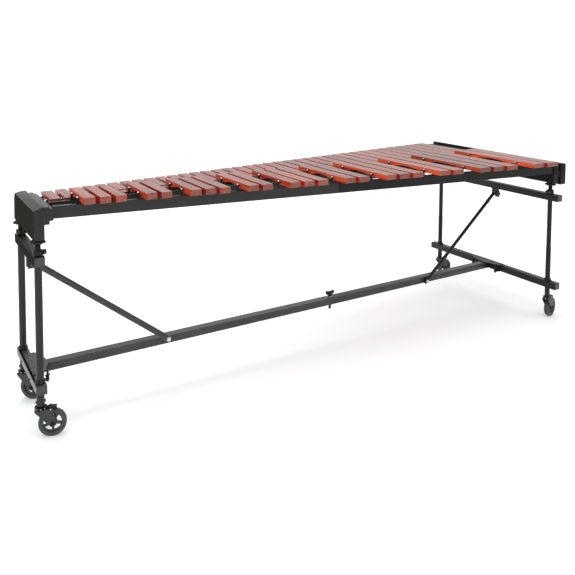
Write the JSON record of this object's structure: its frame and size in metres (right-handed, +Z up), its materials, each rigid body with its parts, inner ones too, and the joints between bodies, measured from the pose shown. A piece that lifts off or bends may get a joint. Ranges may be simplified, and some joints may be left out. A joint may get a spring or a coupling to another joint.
{
  "type": "bar percussion keyboard on a rolling stand",
  "caption": "Five-octave wooden bar percussion keyboard, tapered in plan, with raised accidental bars on a height-adjustable stand with braced stretcher and swivel casters.",
  "frame": {"origin": "on the floor, below the centre of the bounding box", "axes": "+Z up, +X along the instrument towards its wide bass end, -Y towards the raised accidental bars"},
  "size_m": [2.6688, 1.0308, 0.877],
  "materials": {
    "bar_wood": "oiled red padauk bars with a satin gloss, pale where the light glances",
    "rail_satin_black": "satin black lacquered wood",
    "board_black": "satin black lacquered wood",
    "bright_post": "semi-gloss black steel post",
    "caster_steel": "dark zinc-plated pressed steel",
    "caster_rubber": "dark grey polyurethane tread and nylon core",
    "knob_plastic": "moulded black plastic",
    "frame_powder_coat": "fine-textured satin black powder coat"
  },
  "bodies": {
    "stand": {"brace_bracket_bass": "frame_powder_coat", "brace_bracket_treble": "frame_powder_coat", "brace_treble": "frame_powder_coat", "corner_bracket_bass": "frame_powder_coat", "corner_bracket_treble": "frame_powder_coat", "leg_bass_far": "frame_powder_coat", "leg_bass_near": "frame_powder_coat", "leg_treble_far": "frame_powder_coat", "leg_treble_near": "frame_powder_coat", "lower_cross_tube_bass": "frame_powder_coat", "lower_cross_tube_treble": "frame_powder_coat", "stretcher_bass_half": "frame_powder_coat", "stretcher_treble_half": "frame_powder_coat", "upper_cross_tube_bass": "frame_powder_coat", "upper_cross_tube_treble": "frame_powder_coat"},
    "keyboard": {"accidental_bars_1": "bar_wood", "accidental_bars_2": "bar_wood", "accidental_bars_3": "bar_wood", "accidental_bars_4": "bar_wood", "accidental_bars_5": "bar_wood", "end_board_bass": "board_black", "end_board_treble": "board_black", "height_post_bass_far": "bright_post", "height_post_bass_near": "bright_post", "height_post_treble_far": "bright_post", "height_post_treble_near": "bright_post", "natural_bars_1": "bar_wood", "natural_bars_2": "bar_wood", "natural_bars_3": "bar_wood", "natural_bars_4": "bar_wood", "natural_bars_5": "bar_wood", "rail_accidental_inner_bass": "rail_satin_black", "rail_accidental_inner_treble": "rail_satin_black", "rail_accidental_outer_bass": "rail_satin_black", "rail_accidental_outer_treble": "rail_satin_black", "rail_hanger_bass": "rail_satin_black", "rail_hanger_treble": "rail_satin_black", "rail_natural_inner_bass": "rail_satin_black", "rail_natural_inner_treble": "rail_satin_black", "rail_natural_outer_bass": "rail_satin_black", "rail_natural_outer_treble": "rail_satin_black"},
    "level_knob_treble_near": {"level_knob_treble_near": "knob_plastic"},
    "caster_treble_near": {"caster_fork_treble_near": "caster_steel"},
    "wheel_treble_near": {"caster_wheel_treble_near": "caster_rubber"},
    "brake_treble_near": {"brake_pedal_treble_near": "knob_plastic"},
    "level_knob_treble_far": {"level_knob_treble_far": "knob_plastic"},
    "caster_treble_far": {"caster_fork_treble_far": "caster_steel"},
    "wheel_treble_far": {"caster_wheel_treble_far": "caster_rubber"},
    "brake_treble_far": {"brake_pedal_treble_far": "knob_plastic"},
    "level_knob_bass_near": {"level_knob_bass_near": "knob_plastic"},
    "caster_bass_near": {"caster_fork_bass_near": "caster_steel"},
    "wheel_bass_near": {"caster_wheel_bass_near": "caster_rubber"},
    "brake_bass_near": {"brake_pedal_bass_near": "knob_plastic"},
    "level_knob_bass_far": {"level_knob_bass_far": "knob_plastic"},
    "caster_bass_far": {"caster_fork_bass_far": "caster_steel"},
    "wheel_bass_far": {"caster_wheel_bass_far": "caster_rubber"},
    "brake_bass_far": {"brake_pedal_bass_far": "knob_plastic"},
    "wing_bolt": {"stretcher_wing_bolt": "knob_plastic"},
    "brace_bass": {"brace_bass": "frame_powder_coat"},
    "brace_knob_bass": {"brace_knob_bass": "knob_plastic"}
  },
  "joints": [
    {"name": "keyboard_height", "type": "slide", "parent": "stand", "child": "keyboard", "axis": [0, 0, 1], "range_m": [-0.02, 0.13]},
    {"name": "level_treble_near", "type": "hinge", "parent": "keyboard", "child": "level_knob_treble_near", "pos_m": [-1.30446, -0.13398, 0.7265], "axis": [0, 0, 1], "continuous": true},
    {"name": "swivel_treble_near", "type": "hinge", "parent": "stand", "child": "caster_treble_near", "pos_m": [-1.30446, -0.13398, 0.11], "axis": [0, 0, 1], "continuous": true},
    {"name": "roll_treble_near", "type": "hinge", "parent": "caster_treble_near", "child": "wheel_treble_near", "pos_m": [-1.26549, -0.14297, 0.05], "axis": [0.225, 0.9744, 0], "continuous": true},
    {"name": "brake_treble_near", "type": "hinge", "parent": "caster_treble_near", "child": "brake_treble_near", "pos_m": [-1.27133, -0.14162, 0.105], "axis": [0.225, 0.9744, 0], "range_deg": [0, 6]},
    {"name": "level_treble_far", "type": "hinge", "parent": "keyboard", "child": "level_knob_treble_far", "pos_m": [-1.30446, 0.20002, 0.7265], "axis": [0, 0, 1], "continuous": true},
    {"name": "swivel_treble_far", "type": "hinge", "parent": "stand", "child": "caster_treble_far", "pos_m": [-1.30446, 0.20002, 0.11], "axis": [0, 0, 1], "continuous": true},
    {"name": "roll_treble_far", "type": "hinge", "parent": "caster_treble_far", "child": "wheel_treble_far", "pos_m": [-1.27382, 0.17431, 0.05], "axis": [0.6428, 0.766, 0], "continuous": true},
    {"name": "brake_treble_far", "type": "hinge", "parent": "caster_treble_far", "child": "brake_treble_far", "pos_m": [-1.27841, 0.17817, 0.105], "axis": [0.6428, 0.766, 0], "range_deg": [0, 6]},
    {"name": "level_bass_near", "type": "hinge", "parent": "keyboard", "child": "level_knob_bass_near", "pos_m": [1.24554, -0.37198, 0.7265], "axis": [0, 0, 1], "continuous": true},
    {"name": "swivel_bass_near", "type": "hinge", "parent": "stand", "child": "caster_bass_near", "pos_m": [1.24554, -0.37198, 0.11], "axis": [0, 0, 1], "continuous": true},
    {"name": "roll_bass_near", "type": "hinge", "parent": "caster_bass_near", "child": "wheel_bass_near", "pos_m": [1.28418, -0.36162, 0.05], "axis": [-0.2588, 0.9659, 0], "continuous": true},
    {"name": "brake_bass_near", "type": "hinge", "parent": "caster_bass_near", "child": "brake_bass_near", "pos_m": [1.27838, -0.36318, 0.105], "axis": [-0.2588, 0.9659, 0], "range_deg": [0, 6]},
    {"name": "level_bass_far", "type": "hinge", "parent": "keyboard", "child": "level_knob_bass_far", "pos_m": [1.24554, 0.43802, 0.7265], "axis": [0, 0, 1], "continuous": true},
    {"name": "swivel_bass_far", "type": "hinge", "parent": "stand", "child": "caster_bass_far", "pos_m": [1.24554, 0.43802, 0.11], "axis": [0, 0, 1], "continuous": true},
    {"name": "roll_bass_far", "type": "hinge", "parent": "caster_bass_far", "child": "wheel_bass_far", "pos_m": [1.28552, 0.43942, 0.05], "axis": [-0.0349, 0.9994, 0], "continuous": true},
    {"name": "brake_bass_far", "type": "hinge", "parent": "caster_bass_far", "child": "brake_bass_far", "pos_m": [1.27952, 0.43921, 0.105], "axis": [-0.0349, 0.9994, 0], "range_deg": [0, 6]},
    {"name": "wing_bolt_turn", "type": "hinge", "parent": "stand", "child": "wing_bolt", "pos_m": [0.10154, 0.03302, 0.206], "axis": [0, 0, 1], "continuous": true},
    {"name": "brace_fold", "type": "hinge", "parent": "stand", "child": "brace_bass", "pos_m": [0.71754, 0.00002, 0.184], "axis": [0, 1, 0], "range_deg": [0, 33]},
    {"name": "brace_knob_turn", "type": "hinge", "parent": "stand", "child": "brace_knob_bass", "pos_m": [1.23354, -0.01998, 0.613], "axis": [0, 1, 0], "continuous": true}
  ]
}
